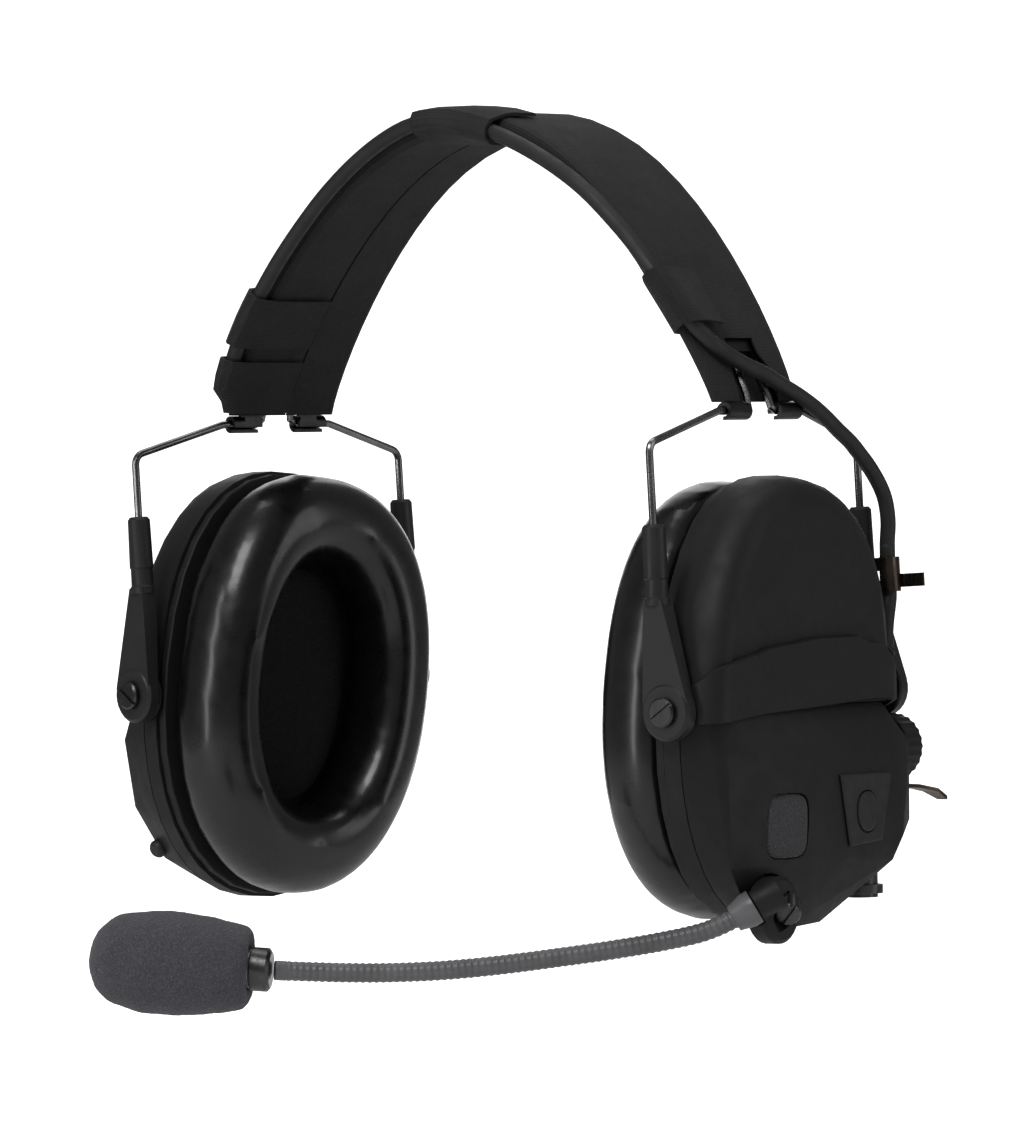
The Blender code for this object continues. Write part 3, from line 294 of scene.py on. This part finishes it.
SLOTS = {entry["node"]: entry["material_slot"] for entry in frame["record"]["subparts"]}


# ---------------------------------------------------------------- carried-over CAD nodes


BEVELS = {"shell": 0.35, "strap": 0.3, "arm": 0.28, "fabric": 0.22, "pad": 0.2, "button": 0.25}


def finish_node(name, obj):
    """Gives a CAD node its finish, smooth shading and slightly rounded edges."""
    mesh = obj.data
    mesh.materials.clear()
    mesh.materials.append(MATS["connector" if name == "mic_neck" else SLOTS[name]])
    for attribute in ("custom_normal", "sharp_edge", "sharp_face"):
        if attribute in mesh.attributes:
            mesh.attributes.remove(mesh.attributes[attribute])
    for polygon in mesh.polygons:
        polygon.use_smooth = True
    weld = obj.modifiers.new("weld", "WELD")
    weld.merge_threshold = 0.004 * MM
    bevel = obj.modifiers.new("rounded_edges", "BEVEL")
    bevel.width = BEVELS.get(SLOTS[name], 0.15) * MM
    bevel.segments = 2
    bevel.limit_method = "ANGLE"
    bevel.angle_limit = math.radians(32)
    bevel.harden_normals = True
    obj.modifiers.new("even_normals", "WEIGHTED_NORMAL").keep_sharp = True


for node_name, node in frame["nodes"].items():
    finish_node(node_name, node)


# ---------------------------------------------------------------- mesh helpers


def smooth_line(points, spacing):
    """Points along a Catmull-Rom curve through these, at most this far apart, in millimetres."""
    points = [Vector(p) for p in points]
    ends = [points[0] * 2 - points[1]] + points + [points[-1] * 2 - points[-2]]
    line = []
    for a, b, c, d in zip(ends, ends[1:], ends[2:], ends[3:]):
        steps = max(1, math.ceil((c - b).length / spacing))
        for i in range(steps):
            t = i / steps
            line.append(0.5 * (
                2 * b + (c - a) * t + (2 * a - 5 * b + 4 * c - d) * t * t
                + (3 * b - a - 3 * c + d) * t ** 3
            ))
    line.append(points[-1])
    return line


def length_of(line):
    return sum((b - a).length for a, b in zip(line, line[1:]))


def tube(name, line, radius_at, material, sides=20):
    """A closed tube along a line; radius_at gives its radius from the distance along it."""
    bm = bmesh.new()
    side = None
    rings = []
    walked = 0.0
    for i, point in enumerate(line):
        ahead = (line[min(i + 1, len(line) - 1)] - line[max(i - 1, 0)]).normalized()
        side = ahead.orthogonal() if side is None else side - ahead * side.dot(ahead)
        side.normalize()
        other = ahead.cross(side)
        if i:
            walked += (point - line[i - 1]).length
        radius = radius_at(walked)
        ring = []
        for k in range(sides):
            a = math.tau * k / sides
            ring.append(bm.verts.new((point + (side * math.cos(a) + other * math.sin(a)) * radius) * MM))
        rings.append(ring)
    for low, high in zip(rings, rings[1:]):
        for k in range(sides):
            m = (k + 1) % sides
            bm.faces.new((low[k], low[m], high[m], high[k]))
    bm.faces.new(reversed(rings[0]))
    bm.faces.new(rings[-1])
    return piece_from(name, bm, material)


def piece_from(name, bm, material):
    bmesh.ops.recalc_face_normals(bm, faces=bm.faces)
    mesh = bpy.data.meshes.new(name)
    bm.to_mesh(mesh)
    bm.free()
    for polygon in mesh.polygons:
        polygon.use_smooth = len(polygon.vertices) < 5
    mesh.materials.append(material)
    obj = bpy.data.objects.new(name, mesh)
    bpy.context.scene.collection.objects.link(obj)
    return obj


def solid_copy(node_name):
    """A welded bmesh of a CAD node."""
    bm = bmesh.new()
    bm.from_mesh(frame["nodes"][node_name].data)
    bmesh.ops.remove_doubles(bm, verts=bm.verts, dist=0.004 * MM)
    return bm


# ---------------------------------------------------------------- crossover cable


def near_index(z, y_from):
    """The index of the route's first point that is lower than z, past a place towards the rear."""
    return next(i for i, p in enumerate(CABLE_ROUTE) if p[0] > 0 and p[1] > y_from and p[2] < z)


def cable_piece(name, first, last):
    line = smooth_line(CABLE_ROUTE[first:last + 1], 1.2)
    obj = tube(name, line, lambda walked: CABLE_RADIUS, MATS["rubber"], 18)
    return obj, line


END = len(CABLE_ROUTE) - 1
LOOP = near_index(-56.0, -17.0)
SHOULDER = near_index(-83.0, 30.0)
CLIP = near_index(-109.0, 40.0)

on_band, line = cable_piece("cable_on_headband", 0, LOOP + 1)
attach(on_band, "headband")
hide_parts("crossover_cable")

past_hook, line = cable_piece("cable_past_hook", LOOP, SHOULDER + 1)
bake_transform(past_hook)

to_clip, line = cable_piece("cable_to_clip", SHOULDER, CLIP + 1)
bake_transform(to_clip)

to_cup, line = cable_piece("cable_to_cup", CLIP, END)
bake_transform(to_cup)


# ---------------------------------------------------------------- boom


boom_line = smooth_line(BOOM_ROUTE, RIB_PITCH / 6)
total = length_of(boom_line)


def ribbed(walked):
    if walked < 6 or walked > total - 3:
        return BOOM_RADIUS
    wave = math.sin(math.tau * walked / RIB_PITCH)
    return BOOM_RADIUS + RIB_DEPTH * (abs(wave) ** 0.6 * (1 if wave > 0 else -1) - 0.6) * 0.6


gooseneck = tube("ribbed_gooseneck", boom_line, ribbed, MATS["boom"], 18)
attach(gooseneck, "boom")
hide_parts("gooseneck")


def make_windscreen():
    """The foam windscreen: its CAD solid made finer, with the slight lumps of cut foam."""
    bm = solid_copy("windscreen")
    bmesh.ops.triangulate(bm, faces=bm.faces)
    obj = piece_from("foam_windscreen", bm, MATS["windscreen"])
    remesh = obj.modifiers.new("remesh", "REMESH")
    remesh.mode = "VOXEL"
    remesh.voxel_size = 0.8 * MM
    apply_modifiers(obj)
    bm = bmesh.new()
    bm.from_mesh(obj.data)
    for _ in range(14):
        bmesh.ops.smooth_vert(bm, verts=bm.verts, factor=0.5, use_axis_x=True, use_axis_y=True, use_axis_z=True)
    bm.normal_update()
    for vert in bm.verts:
        lump = noise.noise(vert.co * 160) * 0.35 + noise.noise(vert.co * 900) * 0.14
        vert.co += vert.normal * lump * MM
    bm.to_mesh(obj.data)
    bm.free()
    for polygon in obj.data.polygons:
        polygon.use_smooth = True
    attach(obj, "boom")
    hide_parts("windscreen")


def apply_modifiers(obj):
    graph = bpy.context.evaluated_depsgraph_get()
    mesh = bpy.data.meshes.new_from_object(obj.evaluated_get(graph))
    obj.modifiers.clear()
    obj.data = mesh


make_windscreen()


# ---------------------------------------------------------------- right cup's microphone port


def make_port():
    """The right cup's small outside microphone: a rubber stub that grows out of the module's lower front."""
    low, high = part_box("right_mic_port")
    tip = (low + high) / 2 / MM
    root = tip + (tip - Vector(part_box("right_module")[0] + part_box("right_module")[1]) / 2 / MM) * -0.22
    stub = smooth_line([tip, tip.lerp(root, 0.5), root], 0.6)
    obj = tube("right_port_stub", stub, lambda walked: min(2.5, 1.7 + walked), MATS["rubber"], 20)
    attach(obj, "right_cup")
    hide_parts("right_mic_port")


make_port()


# ---------------------------------------------------------------- ear cushions


def inflate(obj, frames, swell):
    """Lets the skin settle under inner pressure, each point moving at most this many millimetres."""
    start = [v.co.copy() for v in obj.data.vertices]
    cloth = obj.modifiers.new("cloth", "CLOTH")
    settings = cloth.settings
    settings.quality = 4
    settings.mass = 0.25
    settings.tension_stiffness = 25
    settings.compression_stiffness = 25
    settings.bending_stiffness = 0.4
    settings.use_pressure = True
    settings.uniform_pressure_force = 4
    settings.effector_weights.gravity = 0
    cloth.collision_settings.use_collision = False
    scene = bpy.context.scene
    for number in range(1, frames + 1):
        scene.frame_set(number)
    graph = bpy.context.evaluated_depsgraph_get()
    moved = [v.co.copy() for v in obj.evaluated_get(graph).data.vertices]
    obj.modifiers.clear()
    scene.frame_set(1)
    for vert, before, after in zip(obj.data.vertices, start, moved):
        step = after - before
        if step.length > swell * MM:
            step = step.normalized() * swell * MM
        vert.co = before + step


def make_cushion(side):
    """An ear cushion: a vinyl skin over foam, puffed a little by cloth simulation."""
    bm = solid_copy(f"{side}_cushion")
    bm.normal_update()
    inset = 0.9
    toe = math.radians(TOE_IN)
    inboard = Vector((-math.cos(toe) if side == "left" else math.cos(toe), -math.sin(toe), 0))
    back = min(vert.co.dot(inboard) for vert in bm.verts)
    for vert in bm.verts:
        vert.co -= vert.normal * inset * MM
    for vert in bm.verts:
        vert.co += inboard * max(0.0, vert.co.dot(inboard) - back) * CUSHION_LOFT
    obj = piece_from(f"{side}_vinyl_cushion", bm, MATS["vinyl"])
    remesh = obj.modifiers.new("remesh", "REMESH")
    remesh.mode = "VOXEL"
    remesh.voxel_size = VOXEL * MM
    apply_modifiers(obj)
    inflate(obj, CLOTH_FRAMES, CUSHION_SWELL)
    obj.data.materials.clear()
    obj.data.materials.append(MATS["vinyl"])
    smooth = obj.modifiers.new("settle", "SMOOTH")
    smooth.factor = 0.5
    smooth.iterations = 26
    subdivision = obj.modifiers.new("finer", "SUBSURF")
    subdivision.levels = 1
    subdivision.render_levels = 1
    apply_modifiers(obj)
    for polygon in obj.data.polygons:
        polygon.use_smooth = True
    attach(obj, f"{side}_cup")
    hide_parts(f"{side}_cushion")


for cup_side in ("left", "right"):
    make_cushion(cup_side)


# ---------------------------------------------------------------- floor, light and camera


def paper(name, glow):
    """Matt white paper, with its own glow where it stands for a lit wall."""
    mat = bpy.data.materials.new(name)
    mat.use_nodes = True
    shader = mat.node_tree.nodes["Principled BSDF"]
    shader.inputs["Base Color"].default_value = (0.86, 0.86, 0.86, 1)
    shader.inputs["Roughness"].default_value = 0.9
    shader.inputs["Emission Color"].default_value = (1, 1, 1, 1)
    shader.inputs["Emission Strength"].default_value = glow
    return mat


def make_stage():
    """A pale floor, and a lit strip of paper that sweeps up from it behind the headset."""
    away = Vector((-math.sin(math.radians(AZIMUTH)), math.cos(math.radians(AZIMUTH)), 0))
    across = Vector((math.cos(math.radians(AZIMUTH)), math.sin(math.radians(AZIMUTH)), 0))
    floor = -0.36
    profile = [(1.2, 0.0)]
    for i in range(1, 13):
        a = math.pi / 2 * i / 12
        profile.append((1.2 + 1.0 * math.sin(a), 1.0 - math.cos(a)))
    profile.append((2.2, 4.0))
    sheets = (
        ("pale_floor", [(-6.0, 0.0), (1.2, 0.0)], 6.0, 0.0),
        ("lit_sweep", profile, 0.75, 1.0),
    )
    for name, line_of_sheet, half_width, glow in sheets:
        bm = bmesh.new()
        rows = []
        for distance, height in line_of_sheet:
            centre = away * distance + Vector((0, 0, floor + height))
            rows.append([bm.verts.new(centre + across * w) for w in (-half_width, half_width)])
        for low, high in zip(rows, rows[1:]):
            bm.faces.new((low[0], low[1], high[1], high[0]))
        piece_from(name, bm, paper(f"{name}_paper", glow))


def softbox(name, place, size, power):
    data = bpy.data.lights.new(name, "AREA")
    data.shape = "RECTANGLE"
    data.size, data.size_y = size
    data.energy = power
    obj = bpy.data.objects.new(name, data)
    obj.location = place
    target = Vector((0, 0, -0.11))
    obj.rotation_mode = "QUATERNION"
    obj.rotation_quaternion = (target - Vector(place)).to_track_quat("-Z", "Y")
    bpy.context.scene.collection.objects.link(obj)


def view_axes():
    a, e, roll = math.radians(AZIMUTH), math.radians(ELEVATION), math.radians(ROLL)
    back = Vector((math.sin(a) * math.cos(e), -math.cos(a) * math.cos(e), math.sin(e)))
    right = Vector((math.cos(a), math.sin(a), 0))
    up = back.cross(right)
    rolled_right = right * math.cos(roll) + up * math.sin(roll)
    rolled_up = up * math.cos(roll) - right * math.sin(roll)
    return rolled_right, rolled_up, back


def make_camera():
    right, up, back = view_axes()
    target = (right * AIM_RIGHT + up * AIM_UP + Vector((0, 0, HEIGHT_SHIFT))) * MM
    data = bpy.data.cameras.new("camera")
    data.lens = LENS
    data.sensor_width = 36
    data.clip_start, data.clip_end = 0.1, 30
    camera = bpy.data.objects.new("camera", data)
    turn = Matrix((right, up, back)).transposed().to_4x4()
    camera.matrix_world = Matrix.Translation(target + back * DISTANCE) @ turn
    bpy.context.scene.collection.objects.link(camera)
    bpy.context.scene.camera = camera


make_stage()
make_camera()
RIGHT, UP, BACK = view_axes()
softbox("key_light", BACK * 1.3 - RIGHT * 0.7 + UP * 1.3, (0.8, 0.8), 17)
softbox("side_light", BACK * 0.5 + RIGHT * 1.5 + UP * 0.4, (0.5, 1.4), 4)
softbox("top_light", UP * 1.6 - BACK * 0.3, (1.2, 0.8), 7)
softbox("left_light", BACK * 0.9 - RIGHT * 1.3 + UP * 0.1, (0.25, 1.2), 5)
world = bpy.data.worlds.new("studio")
world.use_nodes = True
world.node_tree.nodes["Background"].inputs["Color"].default_value = (1, 1, 1, 1)
world.node_tree.nodes["Background"].inputs["Strength"].default_value = 0.16
bpy.context.scene.world = world
bpy.context.scene.view_settings.view_transform = "Standard"
